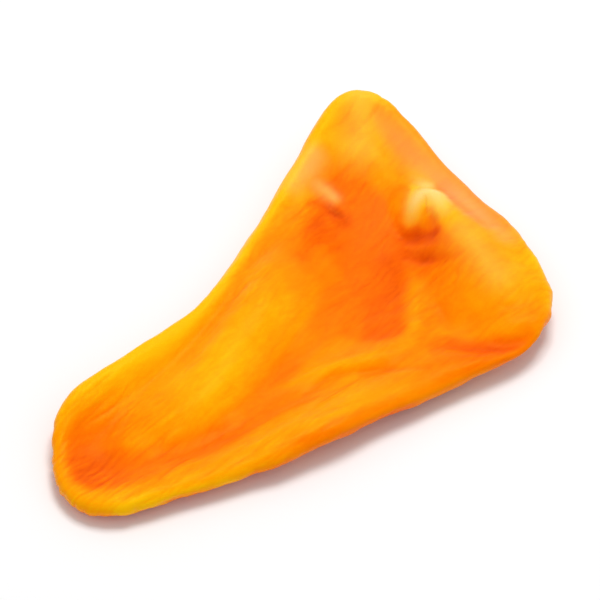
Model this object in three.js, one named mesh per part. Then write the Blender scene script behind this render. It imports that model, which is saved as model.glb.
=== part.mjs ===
// Dried mango slice: a piece cut from beside the stone and dried until its edges curl.
// Millimetres, +Z up. X runs from the narrow end to the broad end, Y across the slice, and the
// slice lies on Z = 0. The origin is the middle of the slice's bounding box, at its lowest level.
import * as THREE from "three";
import { mergeVertices } from "three/addons/utils/BufferGeometryUtils.js";

// Driving sizes.
const LENGTH = 99; // narrow end to broad end
const WIDTH = 64; // across the broad end
const THICKNESS = 4.4; // of the flesh in the middle of the slice

// The flesh is thinner towards its edges, and its edge is rounded over.
const EDGE_THICKNESS = 0.8 * THICKNESS;
// The middle of the underside was pressed flat where the slice lay while it dried.
const PRESSED_DEPTH = 1.1;
// Uneven drying leaves the surface in slow waves of this height. Each wave runs on by one radian for
// so many millimetres along X and Y.
const UNEVENNESS = 0.3;
const WAVES = [
  { alongX: 5.3, alongY: 7.1, start: 0 },
  { alongX: -9.7, alongY: 4.1, start: 1 },
];

// Number of steps round the slice, from its middle to its edge, and over the rounded edge.
const STEPS_ROUND = 128;
const STEPS_OUT = 13;
const STEPS_OVER_EDGE = 3;

// A place in plan, given as shares of half the length and half the width.
function place([along, across], up = 0) {
  return new THREE.Vector3((along * LENGTH) / 2, (across * WIDTH) / 2, up);
}

// The curled edge: points from the middle of the broad end, round by the raised back edge to the
// middle of the narrow end, and back by the rolled front edge. The third number is the height in
// millimetres.
const EDGE_CLOSED = true;
const EDGE_TENSION = 0.5;
const edge = new THREE.CatmullRomCurve3(
  [
    [1.0, 0.06, 5.9],
    [1.0, 0.46, 7.9],
    [0.97, 0.87, 11.6],
    [0.83, 1.01, 12.6],
    [0.54, 0.84, 8.6],
    [0.24, 0.62, 7.4],
    [-0.11, 0.39, 7.8],
    [-0.47, 0.34, 8],
    [-0.78, 0.3, 6.2],
    [-0.98, -0.07, 4],
    [-0.92, -0.4, 3],
    [-0.6, -0.6, 3.2],
    [-0.24, -0.76, 3.6],
    [0.1, -0.83, 3.6],
    [0.43, -0.9, 3.4],
    [0.71, -0.95, 4],
    [0.91, -0.76, 5.2],
    [0.99, -0.36, 6],
  ].map(([along, across, up]) => place([along, across], up)),
  EDGE_CLOSED,
  "catmullrom",
  EDGE_TENSION,
);

// The middle of the slice is nearly level, and the curl of its edge dies away inwards over this
// distance, this sharply.
const MIDDLE_HEIGHT = 2.4;
const CURL_REACH = 8;
const CURL_POWER = 1.1;

// Folds that run through the flesh, on both faces. Each follows a path of places in plan, where the
// third number is its height in millimetres and the fourth how far its slopes reach out. Its lean
// makes the slope on the left of the path and the one on its right longer or shorter.
const FOLDS = {
  broadFoldBesideBackEdge: {
    path: [
      [0.5, 0.56, 0, 5],
      [0.28, 0.38, 1.6, 6],
      [0.02, 0.17, 2.6, 6],
      [-0.23, 0.0, 2.6, 6],
      [-0.43, -0.1, 1.6, 6],
      [-0.6, -0.16, 0.2, 5],
    ],
    lean: [1.1, 0.7],
  },
  valley: {
    path: [
      [0.5, 0.1, -0.4, 5],
      [0.37, -0.01, -0.8, 5],
      [0.15, -0.16, -1, 5],
      [-0.12, -0.28, -1, 5],
      [-0.36, -0.36, -1, 5],
      [-0.6, -0.33, -0.8, 5],
    ],
  },
  rolledFrontEdge: {
    path: [
      [-0.84, -0.34, 0.6, 4],
      [-0.55, -0.52, 1.6, 4],
      [-0.2, -0.64, 2, 4],
      [0.13, -0.71, 2, 4],
      [0.43, -0.79, 1.8, 4],
      [0.64, -0.84, 1.2, 4],
    ],
  },
  innerFoldBesideFrontEdge: {
    path: [
      [-0.14, -0.32, 0.2, 3],
      [0.09, -0.39, 1, 3],
      [0.24, -0.46, 1.1, 3],
      [0.4, -0.56, 0.5, 3],
    ],
  },
  hollowOfNarrowEnd: {
    path: [[-0.8, 0.04, -1, 5], [-0.77, -0.16, -1, 5]],
  },
  lobeAlongBroadEnd: {
    path: [
      [0.8, 0.25, 1.2, 3.2],
      [0.82, 0.12, 3.2, 4],
      [0.81, -0.06, 4.4, 5],
      [0.8, -0.32, 4.8, 6.2],
      [0.78, -0.58, 4.4, 6.8],
      [0.75, -0.75, 2.6, 6],
    ],
    lean: [1, 1.2],
  },
  ridgeUpToHighCorner: {
    path: [[0.81, 0.28, 0.4, 3.5], [0.82, 0.44, 0.8, 3.5], [0.85, 0.64, 0.2, 3.5]],
  },
};

// Creases and crests of the top face alone, given as the folds are.
const TOP_MARKS = {
  furrowInsideBackEdge: {
    path: [
      [0.36, 0.56, -0.2, 2.6],
      [0.15, 0.42, -0.8, 2.6],
      [-0.06, 0.27, -0.9, 2.6],
      [-0.27, 0.19, -0.9, 2.8],
      [-0.5, 0.15, -0.9, 3],
      [-0.7, 0.08, -0.6, 3],
    ],
  },
  hookedTip: {
    path: [[0.77, 0.17, 0.5, 2.4], [0.82, 0.22, 1.4, 2.4], [0.84, 0.12, 1.2, 2.6], [0.82, -0.02, 0.5, 3]],
  },
  creaseUnderHookedTip: {
    path: [[0.7, 0.16, -0.4, 2.6], [0.71, 0.03, -1.4, 2.8], [0.71, -0.1, -0.5, 3]],
  },
  creaseBetweenLobeAndFrontEdge: {
    path: [[0.46, -0.66, -0.2, 2.2], [0.57, -0.79, -1.4, 2.4], [0.7, -0.91, -2, 2.6]],
  },
};

// How finely a path is followed, in steps for each of its places.
const STEPS_ALONG_PATH = 5;

// A path as a smooth line of points that keep their height and reach.
function smoothLine({ path, lean = [1, 1] }) {
  const count = (path.length - 1) * STEPS_ALONG_PATH;
  const places = path.map(([along, across, height]) => place([along, across], height));
  const line = new THREE.CatmullRomCurve3(places);
  const reaches = new THREE.SplineCurve(path.map(([, , , reach], i) => new THREE.Vector2(i, reach)));
  const points = [...Array(count + 1).keys()].map((i) => {
    const { x, y, z } = line.getPoint(i / count);
    return { x, y, height: z, reach: reaches.getPoint(i / count).y };
  });
  return { points, lean };
}

// How much a fold or mark lifts the place x, y.
function lift({ points, lean }, x, y) {
  let nearest = Infinity;
  let height = 0;
  for (let i = 0; i + 1 < points.length; i++) {
    const [from, to] = [points[i], points[i + 1]];
    const [dx, dy] = [to.x - from.x, to.y - from.y];
    const length = Math.hypot(dx, dy);
    const [offX, offY] = [x - from.x, y - from.y];
    const share = THREE.MathUtils.clamp((offX * dx + offY * dy) / length ** 2, 0, 1);
    const past = (offX * dx + offY * dy) / length - share * length;
    const aside = (dx * offY - dy * offX) / length;
    const distance = Math.hypot(past, aside);
    if (distance >= nearest) continue;
    nearest = distance;
    const reach = THREE.MathUtils.lerp(from.reach, to.reach, share);
    const spread = (aside / (reach * (aside > 0 ? lean[0] : lean[1]))) ** 2 + (past / reach) ** 2;
    height = THREE.MathUtils.lerp(from.height, to.height, share) * Math.exp(-spread);
  }
  return height;
}

const foldLines = Object.values(FOLDS).map(smoothLine);
const markLines = Object.values(TOP_MARKS).map(smoothLine);

// How much all of the lines lift the place x, y.
function liftOfAll(lines, { x, y }) {
  return lines.reduce((sum, line) => sum + lift(line, x, y), 0);
}

// The height of the surface's unevenness at x, y.
function unevenness({ x, y }) {
  const waves = WAVES.map(({ alongX, alongY, start }) => Math.sin(x / alongX + y / alongY + start));
  return UNEVENNESS * waves.reduce((sum, wave) => sum + wave, 0);
}

// The middle line, a stretch of the straight line between the middles of the two ends. The points
// of the surface lie on spokes from it to the edge, and on rings round it.
const MIDDLE_SHARES = [0.13, 0.75];
// The innermost ring lies this share of the way from the middle line to the edge.
const FIRST_SHARE = 0.1;

// Each spoke's start lies midway between an even spacing and a place level with its end.
const [broadEnd, narrowEnd] = [edge.getPoint(0), edge.getPoint(0.5)];
const spokes = [...Array(STEPS_ROUND).keys()].map((i) => {
  const rim = edge.getPoint(i / STEPS_ROUND);
  const even = Math.abs(1 - (2 * i) / STEPS_ROUND);
  const level = (rim.x - narrowEnd.x) / (broadEnd.x - narrowEnd.x);
  const share = THREE.MathUtils.lerp(...MIDDLE_SHARES, (even + level) / 2);
  return { start: narrowEnd.clone().lerp(broadEnd, share), rim };
});

// The height that the curled edge gives the place x, y: each point of the edge counts the more, the
// nearer it lies. Beside a straight edge the distance inwards follows exactly from the sum of what
// they count, and beside a curved one nearly so.
const EDGE_STEP = edge.getLength() / STEPS_ROUND;
const SOFTNESS = 0.3; // square millimetres

function curledHeight({ x, y }) {
  let counts = 0;
  let heights = 0;
  for (const { rim } of spokes) {
    const count = ((x - rim.x) ** 2 + (y - rim.y) ** 2 + SOFTNESS) ** -2;
    counts += count;
    heights += count * rim.z;
  }
  const inwards = Math.cbrt(Math.PI / (2 * EDGE_STEP * counts));
  const curl = Math.exp(-((inwards / CURL_REACH) ** CURL_POWER));
  return THREE.MathUtils.lerp(MIDDLE_HEIGHT, heights / counts, curl);
}

// The shares of a spoke at which the rings lie, with the half thickness that each ring gets.
function rings({ start, rim }) {
  const reach = start.distanceTo(rim);
  const half = EDGE_THICKNESS / 2;
  const inner = 1 - half / reach;
  const out = [...Array(STEPS_OUT + 1).keys()].map((i) => {
    const share = THREE.MathUtils.lerp(FIRST_SHARE, inner, i / STEPS_OUT);
    return { share, half: THREE.MathUtils.lerp(THICKNESS / 2, half, share / inner) };
  });
  for (let i = 1; i <= STEPS_OVER_EDGE; i++) {
    const turn = ((i / STEPS_OVER_EDGE) * Math.PI) / 2;
    out.push({ share: 1 - (half / reach) * (1 - Math.sin(turn)), half: half * Math.cos(turn) });
  }
  return out;
}

const RINGS = STEPS_OUT + STEPS_OVER_EDGE + 1;
const at = (round, ring) => (round % STEPS_ROUND) * RINGS + ring;

// The mid-surface: one point for each spoke and ring, and the half thickness there.
const middle = [];
const halves = [];
for (const spoke of spokes) {
  for (const { share, half } of rings(spoke)) {
    const point = spoke.start.clone().lerp(spoke.rim, share);
    point.z = curledHeight(point) + liftOfAll(foldLines, point) + unevenness(point);
    middle.push(point);
    halves.push(half);
  }
}

// Two triangles for each cell between neighbouring spokes and rings.
const triangles = [];
for (let i = 0; i < STEPS_ROUND; i++) {
  for (let k = 0; k + 1 < RINGS; k++) {
    const [a, b, c, d] = [at(i, k), at(i, k + 1), at(i + 1, k + 1), at(i + 1, k)];
    triangles.push([a, b, c], [a, c, d]);
  }
}

// A strip of triangles along the middle line closes the innermost ring.
for (let i = 0; i < STEPS_ROUND / 2; i++) {
  const [a, b] = [at(i, 0), at(i + 1, 0)];
  const [c, d] = [at(STEPS_ROUND - i - 1, 0), at(STEPS_ROUND - i, 0)];
  if (b !== c) triangles.push([a, b, c]);
  if (a !== d) triangles.push([a, c, d]);
}

// Which way the mid-surface faces at each of its points.
function facing() {
  const normals = middle.map(() => new THREE.Vector3());
  for (const [a, b, c] of triangles) {
    const across = middle[b].clone().sub(middle[a]).cross(middle[c].clone().sub(middle[a]));
    for (const corner of [a, b, c]) normals[corner].add(across);
  }
  return normals.map((normal) => normal.normalize());
}

// Points of the top and the underside that meet along the edge become one within this distance.
const MERGE_DISTANCE = 0.001;

// The closed skin: the mid-surface moved up for the top face and down for the underside, which
// rests flat on Z = 0 and meets the top along the edge.
function sliceGeometry() {
  const normals = facing();
  const top = middle.map((point, i) => {
    const share = halves[i] / (THICKNESS / 2);
    const raised = point.clone().addScaledVector(normals[i], halves[i]);
    raised.z += share * liftOfAll(markLines, point);
    return raised;
  });
  const under = middle.map((point, i) => point.clone().addScaledVector(normals[i], -halves[i]));
  const floor = Math.min(...under.map(({ z }) => z)) + PRESSED_DEPTH;
  for (const point of [...top, ...under]) point.z = Math.max(0, point.z - floor);
  const count = middle.length;
  const turned = triangles.map(([a, b, c]) => [a + count, c + count, b + count]);
  const skin = new THREE.BufferGeometry().setFromPoints([...top, ...under]);
  skin.setIndex([...triangles, ...turned].flat());
  skin.computeBoundingBox();
  const centre = skin.boundingBox.getCenter(new THREE.Vector3());
  skin.translate(-centre.x, -centre.y, 0);
  const closed = mergeVertices(skin, MERGE_DISTANCE);
  closed.computeVertexNormals();
  return closed;
}

const flesh = new THREE.MeshStandardMaterial({ color: 0xffa01e, roughness: 0.45, metalness: 0 });
const slice = new THREE.Mesh(sliceGeometry(), flesh);
slice.name = "mango_slice";

const part = new THREE.Group();
part.add(slice);

export default part;
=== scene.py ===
# Dried mango slice: one curled piece of leathery fruit flesh on a plain pale floor.
import math

import bmesh
import bpy
import numpy as np
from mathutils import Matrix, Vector, noise


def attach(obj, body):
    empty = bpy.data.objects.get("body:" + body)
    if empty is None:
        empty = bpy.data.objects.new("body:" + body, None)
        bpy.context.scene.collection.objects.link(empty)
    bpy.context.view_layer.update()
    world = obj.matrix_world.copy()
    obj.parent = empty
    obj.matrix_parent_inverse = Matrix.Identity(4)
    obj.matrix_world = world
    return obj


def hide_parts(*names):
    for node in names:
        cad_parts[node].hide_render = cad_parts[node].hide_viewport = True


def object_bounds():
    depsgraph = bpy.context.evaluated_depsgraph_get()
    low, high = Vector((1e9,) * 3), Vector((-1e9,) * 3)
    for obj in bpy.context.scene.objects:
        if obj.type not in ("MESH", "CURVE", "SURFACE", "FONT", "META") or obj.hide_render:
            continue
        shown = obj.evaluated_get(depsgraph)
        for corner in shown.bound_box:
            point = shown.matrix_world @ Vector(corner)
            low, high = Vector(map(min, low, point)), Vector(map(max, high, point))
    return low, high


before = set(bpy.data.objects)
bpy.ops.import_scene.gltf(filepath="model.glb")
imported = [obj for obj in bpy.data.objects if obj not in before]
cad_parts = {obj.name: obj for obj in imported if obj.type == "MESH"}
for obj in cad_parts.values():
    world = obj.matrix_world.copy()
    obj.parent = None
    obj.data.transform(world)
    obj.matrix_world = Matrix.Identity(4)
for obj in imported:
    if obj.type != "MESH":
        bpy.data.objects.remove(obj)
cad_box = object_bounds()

MM = 0.001
NODE = "mango_slice"
HALF_LENGTH = cad_box[1].x
HALF_WIDTH = cad_box[1].y

# The fine mesh: its cells, how near the solid's corners are merged, and its rounds of smoothing.
CELL = 0.36 * MM
MERGE_DISTANCE = 0.001 * MM
SMOOTHING_ROUNDS = 12

# Paths over the slice's top, seen from above. Each place on a path gives how far along the slice and
# how far across it lies, as shares of its half length and half width, then what the path gives there,
# and how far it reaches to each side in millimetres.

# Small ridges, swellings and creases, with their heights in millimetres.
RELIEF = {
    "hook over the crest": [
        (0.75, 0.14, 0.1, 1.2),
        (0.78, 0.17, 0.4, 1.4),
        (0.82, 0.18, 0.65, 2.0),
        (0.84, 0.13, 0.65, 2.1),
        (0.83, 0.04, 0.35, 2.0),
        (0.815, -0.08, 0.1, 2.2),
    ],
    "hollow inside the hook": [
        (0.775, 0.04, -0.2, 1.0),
        (0.757, 0.0, -0.5, 1.2),
        (0.742, -0.045, -0.4, 1.3),
        (0.73, -0.08, -0.3, 1.2),
    ],
    "crease under the hook": [
        (0.66, 0.1, -0.1, 1.0),
        (0.69, 0.04, -0.3, 1.1),
        (0.71, -0.02, -0.3, 1.2),
        (0.735, -0.08, -0.2, 1.1),
        (0.745, -0.11, 0.0, 1.0),
    ],
    "swelling between the creases": [
        (0.655, 0.0, 0.15, 0.8),
        (0.68, -0.09, 0.25, 0.9),
        (0.71, -0.17, 0.1, 0.9),
    ],
    "second crease": [
        (0.615, -0.04, -0.1, 0.8),
        (0.635, -0.1, -0.2, 1.0),
        (0.655, -0.17, -0.3, 1.0),
        (0.69, -0.24, -0.1, 0.9),
    ],
    "pucker": [
        (0.555, 0.66, 0.1, 1.5),
        (0.56, 0.6, 0.3, 1.5),
        (0.568, 0.52, 0.45, 1.4),
        (0.563, 0.44, 0.1, 1.1),
    ],
    "hollow under the pucker": [
        (0.49, 0.56, -0.1, 1.1),
        (0.525, 0.49, -0.3, 1.3),
        (0.54, 0.43, -0.4, 1.3),
        (0.545, 0.37, -0.1, 1.1),
    ],
    "upright ridge": [
        (0.61, -0.1, 0.1, 1.8),
        (0.57, -0.2, 0.4, 2.0),
        (0.52, -0.31, 0.5, 2.1),
        (0.44, -0.46, 0.4, 2.0),
    ],
    "ridge inside the front edge": [
        (0.43, -0.5, 0.2, 1.8),
        (0.34, -0.56, 0.3, 2),
        (0.22, -0.51, 0.4, 1.8),
        (0.05, -0.39, 0.5, 1.6),
        (-0.14, -0.33, 0.1, 1.4),
    ],
    "crease beside the front roll": [
        (-0.05, -0.46, -0.1, 0.9),
        (0.07, -0.47, -0.2, 1.0),
        (0.2, -0.6, -0.3, 1.0),
        (0.34, -0.77, -0.1, 0.9),
    ],
    "crease under the lobe": [
        (0.42, -0.65, -0.1, 1.4),
        (0.5, -0.76, -0.3, 1.5),
        (0.565, -0.86, -0.35, 1.7),
        (0.65, -0.94, -0.35, 1.8),
        (0.71, -0.98, -0.2, 1.8),
    ],
    "dent at the lobe's foot": [
        (0.56, -0.48, -0.2, 1.4),
        (0.54, -0.56, -0.35, 1.6),
        (0.52, -0.64, -0.1, 1.4),
    ],
    "furrow inside the pale strip": [
        (0.83, 0.66, -0.1, 1.6),
        (0.84, 0.4, -0.3, 1.6),
        (0.875, 0.16, -0.3, 1.6),
        (0.88, -0.2, -0.1, 1.6),
    ],
    "crest of the broad fold": [
        (0.6, 0.66, 0.1, 2.4),
        (0.29, 0.36, 0.4, 2.8),
        (0.08, 0.08, 0.5, 3),
        (-0.18, -0.11, 0.5, 3),
        (-0.36, -0.19, 0.2, 3),
    ],
    "foot of the broad fold": [
        (0.3, 0.1, -0.1, 1.8),
        (0.13, -0.05, -0.3, 1.8),
        (-0.09, -0.2, -0.4, 1.8),
        (-0.34, -0.3, -0.2, 1.8),
    ],
}

# How ripe the flesh's colour is, from 0, deep red orange, to about 1, bright yellow. The tones are partly
# the flesh's own colour and partly painted light and shade: painted shade in the creases and hollows,
# behind the hook, along the end of the fold and on the front roll's outside towards the broad end, and
# painted light on the hook and on the front roll's outside towards the narrow end.
TONES_LIGHT_AND_SHADE = {
    "back rim": [
        (0.84, 0.95, 0.85, 1.5),
        (0.64, 0.87, 0.75, 1.5),
        (0.53, 0.8, 0.84, 1.5),
        (0.2, 0.57, 0.92, 1.5),
        (-0.17, 0.32, 1.0, 2),
        (-0.5, 0.25, 1.0, 3),
        (-0.75, 0.21, 0.75, 1.7),
        (-0.86, 0.14, 0.65, 1.6),
        (-0.97, -0.11, 0.6, 1.6),
        (-0.97, -0.28, 0.65, 1.6),
    ],
    "band inside the rim": [
        (0.66, 0.74, 0.68, 2),
        (0.56, 0.68, 0.6, 1.8),
        (0.45, 0.62, 0.8, 2),
        (0.35, 0.54, 0.72, 2),
        (0.06, 0.34, 0.64, 2.2),
        (-0.12, 0.24, 0.7, 2.2),
        (-0.3, 0.13, 0.74, 2.2),
        (-0.5, 0.12, 0.72, 2.4),
        (-0.68, 0.08, 0.5, 2.6),
    ],
    "broad fold": [
        (0.42, 0.5, 0.38, 2.6),
        (0.29, 0.4, 0.42, 2.8),
        (0.17, 0.28, 0.58, 3),
        (-0.06, 0.01, 0.76, 4),
        (-0.34, -0.15, 0.78, 3.6),
        (-0.6, -0.14, 0.6, 2.6),
    ],
    "right side of the broad fold": [
        (0.3, 0.16, 0.45, 1.8),
        (0.15, 0.03, 0.77, 2),
        (-0.02, -0.08, 0.8, 2),
        (-0.16, -0.18, 0.84, 2.2),
        (-0.34, -0.25, 0.84, 2.2),
        (-0.48, -0.26, 0.7, 2),
    ],
    "valley": [
        (0.5, 0.22, 0.26, 4),
        (0.28, -0.1, 0.36, 3.4),
        (0.05, -0.21, 0.46, 1.8),
        (-0.12, -0.26, 0.42, 1.8),
        (-0.24, -0.33, 0.43, 2.0),
        (-0.42, -0.38, 0.42, 2.2),
        (-0.73, -0.33, 0.36, 2.8),
    ],
    "near end of the valley": [
        (0.37, 0.22, 0.5, 2),
        (0.36, 0.12, 0.48, 2),
    ],
    "side of the valley towards the front": [
        (0.17, -0.3, 0.6, 1.5),
        (0.07, -0.32, 0.68, 1.5),
        (-0.06, -0.38, 0.6, 1.5),
    ],
    "pocket of the narrow end": [
        (-0.72, 0.08, 0.42, 3),
        (-0.83, 0.02, 0.31, 3),
        (-0.87, -0.14, 0.17, 3),
        (-0.8, -0.24, 0.28, 2.6),
    ],
    "red centre": [
        (0.66, 0.5, 0.28, 3),
        (0.64, 0.28, 0.26, 3.5),
        (0.62, 0.06, 0.22, 3.5),
        (0.5, -0.1, 0.19, 4),
        (0.38, -0.37, 0.22, 2.8),
    ],
    # Painted shade in the hollow under the pucker.
    "hollow under the pucker": [
        (0.485, 0.52, 0.26, 1.2),
        (0.53, 0.44, 0.1, 1.4),
        (0.54, 0.37, 0.05, 1.3),
    ],
    "shade along the end of the fold": [
        (0.46, 0.42, 0.16, 1.2),
        (0.395, 0.35, 0.24, 1.3),
        (0.32, 0.28, 0.36, 1.3),
    ],
    "front roll": [
        (-0.955, -0.34, 0.65, 1.8),
        (-0.8, -0.5, 0.66, 2.2),
        (-0.5, -0.59, 0.64, 2),
        (-0.19, -0.665, 0.68, 2),
        (0.15, -0.74, 0.62, 1.8),
        (0.32, -0.85, 0.45, 2),
        (0.57, -0.94, 0.15, 2),
    ],
    # Painted light on the front roll's outside towards the narrow end, and painted shade towards the broad
    # end.
    "painted light and shade outside the front roll": [
        (-0.88, -0.5, 1.1, 1.4),
        (-0.6, -0.68, 0.9, 1.6),
        (-0.2, -0.8, 0.36, 1.8),
        (0.35, -0.93, 0.42, 1.8),
        (0.65, -0.98, 0.2, 1.8),
    ],
    "crease beside the front roll": [
        (0.0, -0.46, 0.6, 1),
        (0.16, -0.55, 0.62, 1),
        (0.34, -0.78, 0.46, 1),
    ],
    "ridge inside the front edge": [
        (-0.08, -0.37, 0.5, 1.6),
        (0.01, -0.375, 0.62, 1.8),
        (0.2, -0.5, 0.54, 1.8),
        (0.34, -0.58, 0.52, 2),
        (0.45, -0.48, 0.54, 1.8),
        (0.55, -0.26, 0.55, 1.8),
        (0.61, -0.12, 0.3, 1.4),
    ],
    "foot of the lobe": [
        (0.655, -0.16, 0.2, 1.6),
        (0.62, -0.3, 0.42, 2.2),
        (0.58, -0.5, 0.5, 2.4),
        (0.61, -0.75, 0.56, 2.2),
    ],
    "inner slope of the lobe": [
        (0.71, -0.17, 0.38, 1.8),
        (0.69, -0.4, 0.54, 2.4),
        (0.69, -0.63, 0.64, 2.2),
        (0.7, -0.84, 0.54, 2.2),
    ],
    "crest of the lobe": [
        (0.81, -0.05, 0.78, 2.2),
        (0.8, -0.4, 0.7, 3),
        (0.79, -0.7, 0.72, 3),
        (0.77, -0.88, 0.46, 2.4),
    ],
    "outer side of the lobe": [
        (0.89, -0.38, 0.8, 1.8),
        (0.9, -0.6, 0.82, 2),
        (0.86, -0.78, 0.74, 2),
    ],
    # Painted shade in the crease under the hook.
    "crease under the hook": [
        (0.66, 0.09, 0.25, 0.9),
        (0.69, 0.03, 0.2, 1.1),
        (0.715, -0.05, 0.1, 1.2),
        (0.735, -0.08, 0.15, 1),
    ],
    "between the creases": [
        (0.675, -0.02, 0.26, 0.9),
        (0.7, -0.12, 0.1, 1),
    ],
    # Painted shade in the second crease.
    "second crease": [
        (0.63, -0.08, 0.25, 0.9),
        (0.655, -0.17, 0.14, 0.9),
        (0.69, -0.23, 0.25, 0.9),
    ],
    # Painted shade in the crease under the lobe.
    "crease under the lobe": [
        (0.445, -0.69, 0.36, 1.2),
        (0.565, -0.86, 0.25, 1.6),
        (0.65, -0.95, 0.24, 1.6),
        (0.71, -0.98, 0.35, 1.4),
    ],
    # Lighter on the hooked tip, partly as a painted highlight.
    "hook": [
        (0.74, 0.13, 0.85, 1.2),
        (0.775, 0.17, 1.05, 1.4),
        (0.82, 0.17, 1.1, 1.5),
        (0.835, 0.12, 1.1, 1.5),
        (0.825, 0.05, 0.95, 1.4),
        (0.81, -0.05, 0.8, 1.5),
    ],
    # Painted shade in the recess inside the hook.
    "inside the hook": [
        (0.77, 0.045, 0.6, 0.8),
        (0.75, -0.01, 0.4, 1.1),
    ],
    "left of the hook": [
        (0.67, 0.2, 0.34, 1.2),
        (0.73, 0.24, 0.6, 1.3),
        (0.77, 0.34, 0.5, 1.4),
    ],
    # Painted shade in the groove behind the hook.
    "painted shade behind the hook": [
        (0.92, 0.2, 0.3, 1.1),
        (0.91, 0.08, 0.4, 1.1),
    ],
    "high corner": [
        (0.9, 0.89, 1.0, 2.4),
        (0.82, 0.87, 0.84, 2.4),
        (0.71, 0.78, 0.86, 3),
        (0.83, 0.68, 0.86, 3),
    ],
    "line down from the high corner": [
        (0.87, 0.86, 1.1, 1.5),
        (0.86, 0.74, 1.1, 1.5),
        (0.84, 0.6, 0.95, 1.4),
        (0.83, 0.5, 0.7, 1.4),
    ],
    "below the high corner": [
        (0.67, 0.64, 0.4, 2.6),
        (0.76, 0.54, 0.62, 3),
        (0.78, 0.44, 0.66, 2.6),
    ],
    "strip along the broad end": [
        (0.9, 0.74, 0.62, 2.4),
        (0.92, 0.45, 0.5, 2.4),
        (0.93, 0.0, 0.4, 2),
        (0.925, -0.42, 0.64, 2),
    ],
    "inside the strip": [
        (0.835, 0.42, 0.62, 1.6),
        (0.87, 0.34, 0.85, 1.6),
        (0.87, 0.26, 1.1, 1.6),
    ],
    "pucker": [
        (0.553, 0.615, 0.38, 1.5),
        (0.567, 0.485, 0.29, 1.3),
    ],
}

# How pale and chalky the flesh is, from 0 to 1. On the hook and just above it the paleness is partly a
# painted highlight.
PALENESS_AND_HIGHLIGHTS = {
    # Partly a painted highlight on the hooked tip and above it.
    "hook": [
        (0.74, 0.13, 0.2, 1.2),
        (0.775, 0.17, 0.7, 1.4),
        (0.82, 0.18, 0.9, 2.0),
        (0.84, 0.13, 0.9, 1.9),
        (0.81, -0.02, 0.2, 1.5),
    ],
    "above the hook": [
        (0.87, 0.34, 0.15, 1.4),
        (0.87, 0.25, 0.65, 1.8),
    ],
    "strip along the broad end": [
        (0.9, 0.74, 0.15, 2.4),
        (0.93, 0.25, 0.3, 2.6),
        (0.93, 0.0, 0.35, 2.2),
        (0.92, -0.35, 0.2, 2.2),
    ],
    "beside the pucker": [
        (0.62, 0.78, 0.3, 2),
        (0.56, 0.73, 0.3, 2),
        (0.48, 0.69, 0.2, 2),
    ],
    "pucker": [
        (0.553, 0.635, 0.2, 1.8),
        (0.57, 0.51, 0.36, 1.3),
    ],
    "high corner": [
        (0.9, 0.9, 0.15, 3),
        (0.8, 0.72, 0.12, 4),
    ],
    "lobe": [
        (0.8, -0.2, 0.12, 3),
        (0.78, -0.55, 0.1, 3),
    ],
}

STEPS_ALONG_PATH = 6

# The tone where no path reaches, with its small weight against the paths, and the underside's tone, deeper
# as painted shade.
UNPAINTED = {"tone": 0.5, "weight": 0.002}
UNDERSIDE_SHADE_TONE = 0.38

# How far up the skin faces where each of these begins to show, and where it shows fully.
TOP_RELIEF = (0.0, 0.45)
TOP_COLOUR = (-0.8, 0.0)
# How far up the skin faces where each of these still shows fully, and where it ends.
SIDE_SKIN = (-0.1, 0.5)
SIDE_COLOUR = (-0.1, 0.6)

# How much deeper the colour is in broad hollows and in fine creases of the depths given, with the rounds
# of smoothing that they are measured against. In broad hollows this is partly the flesh's own deeper colour
# and partly painted shade, and in fine creases it is painted shade. Ridges are lighter by as much, which is
# partly painted light.
HOLLOW_DEPTH_AND_SHADE = {"rounds": 60, "depth": 0.25 * MM, "deeper": 0.08}
CREASE_SHADE = {"rounds": 4, "depth": 0.04 * MM, "deeper": 0.1}

# Wrinkles of the drying skin: each layer's spacing along and across the fibres, its depth, and its start
# in the noise.
WRINKLES = [
    {"along": 14 * MM, "across": 3.8 * MM, "depth": 0.17 * MM, "start": 3.0},
    {"along": 5 * MM, "across": 1.7 * MM, "depth": 0.07 * MM, "start": 11.0},
    {"along": 2.2 * MM, "across": 1.0 * MM, "depth": 0.035 * MM, "start": 29.0},
]
THROUGH = 2  # the wrinkles' spacing through the slice, against their spacing across the fibres
SIDE_WRINKLES = 2.2  # how many times as deep the wrinkles are on the sides and underneath

# Smooth uneven patterns, each from its own start in the noise: lumps of the whole slice, crumples and
# blotches of its sides and underside, bends of the fibres, and patches of shallow and of deep wrinkles.
# The sides and underside are also darker overall by the blotches' deeper share, as painted shade.
LUMPS = {"spacing": 7 * MM, "start": 7.0, "depth": 0.3 * MM}
SIDE_CRUMPLES = {"spacing": 3.4 * MM, "start": 70.0, "depth": 0.16 * MM}
SIDE_BLOTCHES_AND_SHADE = {"spacing": 8 * MM, "start": 30.0, "change": 0.25, "deeper": 0.06}
BENDS = {"spacing": 8 * MM, "start": 50.0, "depth": 1.6 * MM}
PATCHES = {"spacing": 11 * MM, "start": 90.0, "shallow_below": -0.25, "deep_above": 0.35, "least": 0.45}

NARROW_FAN = 0.5  # how far apart the fibres lie at the narrow end, against the broad end
# How far the fibres run across the slice for each step along it, which is nearly their angle in radians.
LEAN = 0.12


def smooth_path(places):
    """The places as a smooth line, a Catmull-Rom curve, with each place and reach in metres."""
    scale = np.array([HALF_LENGTH, HALF_WIDTH, 1, MM])
    rows = np.array([places[0], *places, places[-1]], float) * scale
    line = []
    for a, b, c, d in zip(rows, rows[1:], rows[2:], rows[3:]):
        for t in np.arange(STEPS_ALONG_PATH) / STEPS_ALONG_PATH:
            line.append(b + 0.5 * t * (c - a + t * (2 * a - 5 * b + 4 * c - d + t * (3 * (b - c) + d - a))))
    return np.array([*line, rows[-1]])


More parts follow.
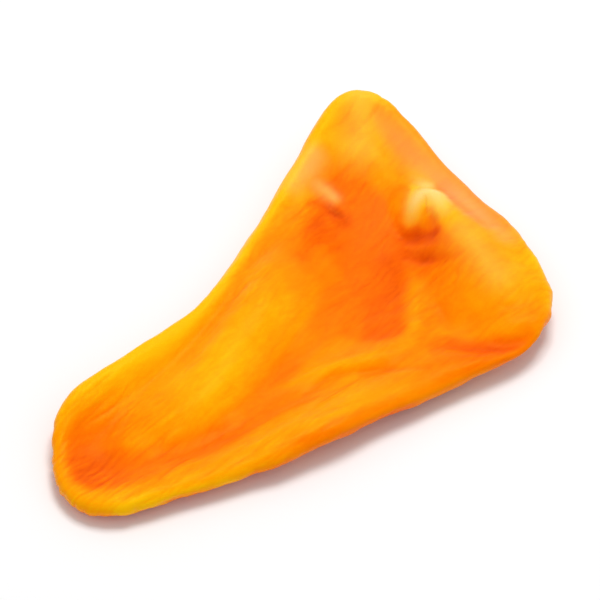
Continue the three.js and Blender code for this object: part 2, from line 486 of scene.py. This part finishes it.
def along_path(plan, places):
    """What a path gives each point in plan, how near the point is to it, from 0 to 1, and its reach."""
    line = smooth_path(places)
    nearest = np.full(len(plan), np.inf)
    value = np.zeros(len(plan))
    reach = np.ones(len(plan))
    for start, end in zip(line, line[1:]):
        step = end[:2] - start[:2]
        share = np.clip((plan - start[:2]) @ step / (step @ step), 0, 1)
        off = plan - start[:2] - share[:, None] * step
        distance = np.hypot(off[:, 0], off[:, 1])
        closer = distance < nearest
        nearest[closer] = distance[closer]
        value[closer] = (start[2] + share * (end[2] - start[2]))[closer]
        reach[closer] = (start[3] + share * (end[3] - start[3]))[closer]
    return value, np.exp(-((nearest / reach) ** 2)), reach


def read(mesh, what):
    """The positions or normals of a mesh's vertices, as rows of three numbers."""
    source, name = {"places": (mesh.vertices, "co"), "normals": (mesh.vertex_normals, "vector")}[what]
    rows = np.empty(len(mesh.vertices) * 3, np.float32)
    source.foreach_get(name, rows)
    return rows.reshape(-1, 3).astype(float)


def write_places(mesh, places):
    """Moves a mesh's vertices to these places, none of them below the floor."""
    places[:, 2] = np.maximum(places[:, 2], 0)
    mesh.vertices.foreach_set("co", places.astype(np.float32).ravel())
    mesh.update()


def step_to(low, high, value):
    """0 below low, 1 above high, and a smooth step between them."""
    t = np.clip((value - low) / (high - low), 0, 1)
    return t * t * (3 - 2 * t)


def neighbour_mean(mesh, values, rounds):
    """The values averaged over each vertex's neighbours, so many times over."""
    edges = np.empty(len(mesh.edges) * 2, np.int32)
    mesh.edges.foreach_get("vertices", edges)
    edges = edges.reshape(-1, 2)
    ends = np.concatenate([edges[:, 0], edges[:, 1]])
    others = np.concatenate([edges[:, 1], edges[:, 0]])
    count = np.bincount(ends, minlength=len(values))
    for _ in range(rounds):
        sums = [np.bincount(ends, weights=column[others], minlength=len(values)) for column in values.T]
        values = (values + np.stack(sums, axis=1) / count[:, None]) / 2
    return values


def hollowness(mesh, rounds, depth):
    """How far each vertex lies below its neighbourhood, 1 at this depth, and below 0 on ridges."""
    places = read(mesh, "places")
    smoothed = neighbour_mean(mesh, places, rounds)
    return np.clip(np.einsum("ij,ij->i", smoothed - places, read(mesh, "normals")) / depth, -1, 1)


def fine_copy(node, name):
    """A copy of the slice's solid with a fine, even mesh."""
    mesh = node.data.copy()
    mesh.name = name
    bm = bmesh.new()
    bm.from_mesh(mesh)
    bmesh.ops.remove_doubles(bm, verts=bm.verts, dist=MERGE_DISTANCE)
    bm.to_mesh(mesh)
    bm.free()
    rough = bpy.data.objects.new(name, mesh)
    bpy.context.scene.collection.objects.link(rough)
    rounding = rough.modifiers.new("rounding", "SUBSURF")
    rounding.levels = rounding.render_levels = 1
    remesh = rough.modifiers.new("remesh", "REMESH")
    remesh.mode = "VOXEL"
    remesh.voxel_size = CELL
    depsgraph = bpy.context.evaluated_depsgraph_get()
    fine = bpy.data.meshes.new_from_object(rough.evaluated_get(depsgraph))
    bpy.data.objects.remove(rough)
    fine.name = name
    fine.materials.clear()
    piece = bpy.data.objects.new(name, fine)
    bpy.context.scene.collection.objects.link(piece)
    write_places(fine, neighbour_mean(fine, read(fine, "places"), SMOOTHING_ROUNDS))
    return piece


def noise_at(places, start):
    """Smooth noise, about -1 to 1, at each row of places."""
    shift = Vector((start, start * 0.7, -start))
    return np.array([noise.noise(Vector(p) + shift) for p in places])


def pattern_at(places, pattern):
    """A smooth uneven pattern, about -1 to 1, at each row of places."""
    return noise_at(places / pattern["spacing"], pattern["start"])


def along_fibres(places):
    """The places along and across the bent fibres, which lie closer together at the narrow end."""
    share = places[:, 0] / (2 * HALF_LENGTH) + 0.5
    fan = NARROW_FAN + (1 - NARROW_FAN) * share
    across = (places[:, 1] - LEAN * places[:, 0]) / fan
    across += pattern_at(places, BENDS) * BENDS["depth"]
    return np.stack([places[:, 0], across, places[:, 2]], axis=1)


def shape_flesh(mesh):
    """Raises and sinks the named ridges and creases, and wrinkles the whole skin."""
    places, normals = read(mesh, "places"), read(mesh, "normals")
    on_top = step_to(*TOP_RELIEF, normals[:, 2])
    lift = 0
    for path in RELIEF.values():
        height, nearness, _ = along_path(places[:, :2], path)
        lift += height * nearness * MM
    write_places(mesh, places + normals * (lift * on_top)[:, None])

    places, normals = read(mesh, "places"), read(mesh, "normals")
    fibres = along_fibres(places)
    lift = pattern_at(places, LUMPS) * LUMPS["depth"]
    patches = step_to(PATCHES["shallow_below"], PATCHES["deep_above"], pattern_at(places, PATCHES))
    patches = PATCHES["least"] + (1 - PATCHES["least"]) * patches
    sides = 1 - step_to(*SIDE_SKIN, normals[:, 2])
    patches *= 1 + (SIDE_WRINKLES - 1) * sides
    lift += pattern_at(places, SIDE_CRUMPLES) * SIDE_CRUMPLES["depth"] * sides
    for layer in WRINKLES:
        scale = np.array([layer["along"], layer["across"], THROUGH * layer["across"]])
        folds = np.abs(noise_at(fibres / scale, layer["start"])) * 2
        lift += (np.minimum(folds, 1) - 0.5) * layer["depth"] * patches
    write_places(mesh, places + normals * lift[:, None])


def paint_flesh(mesh):
    """Stores how ripe and how pale the colour is at each vertex, with painted light and shade in the tone
    and a painted highlight in the paleness.
    """
    places, normals = read(mesh, "places"), read(mesh, "normals")
    on_top = step_to(*TOP_COLOUR, normals[:, 2])
    plan = places[:, :2]
    weights = np.full(len(plan), UNPAINTED["weight"])
    tone = weights * UNPAINTED["tone"]
    for path in TONES_LIGHT_AND_SHADE.values():
        value, nearness, reach = along_path(plan, path)
        weight = nearness / (reach / MM)
        tone += value * weight
        weights += weight
    # The underside takes a deeper tone, as painted shade.
    tone = tone / weights * on_top + UNDERSIDE_SHADE_TONE * (1 - on_top)
    # Random blotches on the sides and underside, which are also darker overall as painted shade.
    blotches = pattern_at(places, SIDE_BLOTCHES_AND_SHADE) * SIDE_BLOTCHES_AND_SHADE["change"]
    tone += (blotches - SIDE_BLOTCHES_AND_SHADE["deeper"]) * (1 - step_to(*SIDE_COLOUR, normals[:, 2]))
    # Deeper in hollows and creases and lighter on ridges: painted shade and light, in broad hollows partly
    # the flesh's own colour.
    for deepening_and_shade in (HOLLOW_DEPTH_AND_SHADE, CREASE_SHADE):
        tone -= deepening_and_shade["deeper"] * hollowness(mesh, deepening_and_shade["rounds"], deepening_and_shade["depth"])
    pale = 0
    for path in PALENESS_AND_HIGHLIGHTS.values():
        value, nearness, _ = along_path(plan, path)
        pale = np.maximum(pale, value * nearness)
    for name, values in {"tone": tone, "pale": pale * on_top}.items():
        mesh.attributes.new(name, "FLOAT", "POINT").data.foreach_set("value", values.astype(np.float32))


def srgb(red, green, blue):
    """A colour given as 0 to 255 for each channel, as a shader wants it."""
    channels = [c / 255 for c in (red, green, blue)]
    return (*[c / 12.92 if c <= 0.04045 else ((c + 0.055) / 1.055) ** 2.4 for c in channels], 1)


# The flesh's colour at each tone, and the colour of its palest places, which on the hook is partly a
# painted highlight.
RIPENESS = {
    -0.1: srgb(200, 58, 0),
    0.1: srgb(232, 84, 0),
    0.3: srgb(248, 108, 0),
    0.5: srgb(254, 131, 0),
    0.75: srgb(255, 159, 2),
    1.0: srgb(255, 188, 8),
}
PALE = srgb(255, 214, 130)

# The flesh's fine patterns, with how many of each go in a metre, and how far some of them shift the tone.
FINE_PATTERNS = {
    "fibres": {"scale": 1500, "detail": 4, "roughness": 0.6},
    "streaks": {"scale": 420, "detail": 3},
    "blotches": {"scale": 140, "detail": 5, "roughness": 0.6},
    "pores": {"scale": 2600, "detail": 2},
}
TONE_SHIFTS = {"blotches": 0.08, "streaks": 0.035, "fibres": 0.03}
FIBRE_BENDS = {"scale": 130, "amount": 5 * MM}
FIBRE_STRETCH = 0.25  # how closely the fibre patterns repeat along the slice, against across it
PORES_IN_GRAIN = 0.6  # how strong the pores are in the grain, against the fibres
GRAIN = {"Strength": 0.35, "Distance": 0.05 * MM}

# The noise values between which the tone shifts, and between which the gloss changes.
TONE_NOISE = (0.25, 0.75)
GLOSS_NOISE = (0.3, 0.7)

# The flesh's satin finish: its roughness where it is glossiest and dullest, and its other settings.
GLOSS = (0.28, 0.44)
SATIN = {
    "Specular IOR Level": 0.2,
    "Specular Tint": srgb(255, 180, 40),
    "Subsurface Weight": 0.2,
    "Subsurface Radius": (1.0, 0.45, 0.06),
    "Subsurface Scale": 2 * MM,
}


class Nodes:
    """A material's nodes, added and joined in one call each."""

    def __init__(self, name):
        self.material = bpy.data.materials.new(name)
        self.material.use_nodes = True
        self.tree = self.material.node_tree
        self.shader = self.tree.nodes["Principled BSDF"]

    def add(self, kind, inputs=(), **settings):
        """Adds a node, sets its settings, and joins or sets its inputs."""
        node = self.tree.nodes.new("ShaderNode" + kind)
        for key, value in settings.items():
            setattr(node, key, value)
        for key, value in dict(inputs).items():
            self.give(node, key, value)
        return node

    def give(self, node, key, value):
        """Joins an input to a socket, or sets it to a value."""
        if isinstance(value, bpy.types.NodeSocket):
            self.tree.links.new(value, node.inputs[key])
        else:
            node.inputs[key].default_value = value

    def attribute(self, name):
        return self.add("Attribute", attribute_name=name).outputs["Fac"]

    def maths(self, operation, first, second):
        return self.add("Math", {0: first, 1: second}, operation=operation).outputs[0]

    def spread(self, value, low, high, to_low=0.0, to_high=1.0):
        """The value from low to high stretched to another range."""
        inputs = {0: value, 1: low, 2: high, 3: to_low, 4: to_high}
        return self.add("MapRange", inputs, clamp=True).outputs[0]

    def mix(self, share, first, second):
        """Two colours mixed, the second by its share."""
        node = self.add("Mix", {0: share, 6: first, 7: second}, data_type="RGBA")
        return node.outputs[2]

    def noise(self, place, scale, detail=3.0, roughness=0.5):
        inputs = {"Vector": place, "Scale": scale, "Detail": detail, "Roughness": roughness}
        return self.add("TexNoise", inputs).outputs["Fac"]

    def bent(self, place, scale, amount):
        """The place moved about by smooth noise, by up to half of the amount."""
        drift = self.add("TexNoise", {"Vector": place, "Scale": scale, "Detail": 1.0}).outputs["Color"]
        centred = self.add("VectorMath", {0: drift, 1: (0.5, 0.5, 0.5)}, operation="SUBTRACT").outputs[0]
        moved = self.add("VectorMath", {0: centred, "Scale": amount}, operation="SCALE").outputs[0]
        return self.add("VectorMath", {0: place, 1: moved}, operation="ADD").outputs[0]


def colour_of_tone(nodes, tone):
    """The colour of a tone, blended evenly between the nearest two of RIPENESS."""
    low, high = min(RIPENESS), max(RIPENESS)
    ramp = nodes.add("ValToRGB", {"Fac": nodes.spread(tone, low, high)})
    elements = ramp.color_ramp.elements
    while len(elements) < len(RIPENESS):
        elements.new(0.5)
    for element, (at, colour) in zip(elements, sorted(RIPENESS.items())):
        element.position = (at - low) / (high - low)
        element.color = colour
    return ramp.outputs["Color"]


def flesh_material():
    """Dried mango flesh: yellow on its rims and folds, deep orange in its hollows, partly as painted shade,
    with fine fibres.
    """
    nodes = Nodes("dried mango flesh")
    place = nodes.add("TexCoord").outputs["Object"]
    bent = nodes.bent(place, **FIBRE_BENDS)
    lengthwise = {"Vector": bent, "Rotation": (0, 0, -LEAN), "Scale": (FIBRE_STRETCH, 1, 1)}
    stretch = nodes.add("Mapping", lengthwise).outputs[0]
    grounds = {"fibres": stretch, "streaks": stretch, "blotches": place, "pores": place}
    patterns = {name: nodes.noise(ground, **FINE_PATTERNS[name]) for name, ground in grounds.items()}

    tone = nodes.attribute("tone")
    for name, shift in TONE_SHIFTS.items():
        tone = nodes.maths("ADD", tone, nodes.spread(patterns[name], *TONE_NOISE, -shift, shift))
    colour = colour_of_tone(nodes, tone)
    colour = nodes.mix(nodes.attribute("pale"), colour, PALE)

    pores = nodes.spread(patterns["pores"], 0, 1, 0, PORES_IN_GRAIN)
    grain = nodes.maths("ADD", patterns["fibres"], pores)
    bump = nodes.add("Bump", {**GRAIN, "Height": grain}).outputs[0]
    gloss = nodes.spread(patterns["blotches"], *GLOSS_NOISE, *GLOSS)
    for socket, value in {"Base Color": colour, "Roughness": gloss, "Normal": bump, **SATIN}.items():
        nodes.give(nodes.shader, socket, value)
    return nodes.material


def make_flesh():
    """The slice itself."""
    piece = fine_copy(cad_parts[NODE], "dried_mango_flesh")
    shape_flesh(piece.data)
    paint_flesh(piece.data)
    piece.data.shade_smooth()
    piece.data.materials.append(flesh_material())
    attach(piece, "root")
    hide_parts(NODE)
    return piece


# The photograph's viewing angle as judged, and the camera's distance, lens and target, with which
# the slice fills the frame.
AZIMUTH = math.radians(-38.4)
ELEVATION = math.radians(50)
CAMERA_DISTANCE = 1.002
LENS = 340
SENSOR = 36
TARGET = Vector((8.93, 1.62, 5.6)) * MM
NEAREST_SEEN = 0.01

# The studio: the floor's reach to each side, its pale paper, the surround's strength, and the key light,
# with its place to the camera's right, away from the camera and upwards, its size and its power.
FLOOR_REACH = 3
PAPER = {"Base Color": (0.92, 0.92, 0.92, 1), "Roughness": 0.9}
SURROUND_STRENGTH = 0.6
KEY_LIGHT = {"right": 0.08, "away": 0.2, "up": 0.68, "size": 0.3, "power": 3}


def turned_towards(thing, direction):
    """Turns a camera or light so that it faces the direction."""
    thing.rotation_mode = "QUATERNION"
    thing.rotation_quaternion = direction.to_track_quat("-Z", "Y")


def make_camera():
    """The scene's camera."""
    flat = math.cos(ELEVATION)
    back = Vector((math.sin(AZIMUTH) * flat, -math.cos(AZIMUTH) * flat, math.sin(ELEVATION)))
    camera = bpy.data.objects.new("camera", bpy.data.cameras.new("camera"))
    camera.data.lens = LENS
    camera.data.sensor_width = SENSOR
    camera.data.clip_start = NEAREST_SEEN
    camera.location = TARGET + back * CAMERA_DISTANCE
    turned_towards(camera, -back)
    bpy.context.scene.collection.objects.link(camera)
    bpy.context.scene.camera = camera


def make_light(name, place, size, power):
    """A square soft light that faces the slice."""
    light = bpy.data.objects.new(name, bpy.data.lights.new(name, "AREA"))
    light.data.size = size
    light.data.energy = power
    light.location = place
    turned_towards(light, -place)
    bpy.context.scene.collection.objects.link(light)


def make_studio():
    """A pale floor, a white surround, and a soft key light from above."""
    bm = bmesh.new()
    bmesh.ops.create_grid(bm, x_segments=1, y_segments=1, size=FLOOR_REACH)
    mesh = bpy.data.meshes.new("floor")
    bm.to_mesh(mesh)
    bm.free()
    floor = bpy.data.objects.new("floor", mesh)
    bpy.context.scene.collection.objects.link(floor)
    paper = Nodes("pale floor")
    for socket, value in PAPER.items():
        paper.give(paper.shader, socket, value)
    mesh.materials.append(paper.material)

    world = bpy.data.worlds.new("studio")
    bpy.context.scene.world = world
    world.use_nodes = True
    surround = world.node_tree.nodes["Background"]
    surround.inputs["Color"].default_value = (1, 1, 1, 1)
    surround.inputs["Strength"].default_value = SURROUND_STRENGTH

    right = Vector((math.cos(AZIMUTH), math.sin(AZIMUTH), 0))
    away = Vector((-math.sin(AZIMUTH), math.cos(AZIMUTH), 0))
    up = Vector((0, 0, 1))
    place = right * KEY_LIGHT["right"] + away * KEY_LIGHT["away"] + up * KEY_LIGHT["up"]
    make_light("key light", place, KEY_LIGHT["size"], KEY_LIGHT["power"])
    bpy.context.scene.view_settings.view_transform = "Standard"


make_flesh()
make_camera()
make_studio()
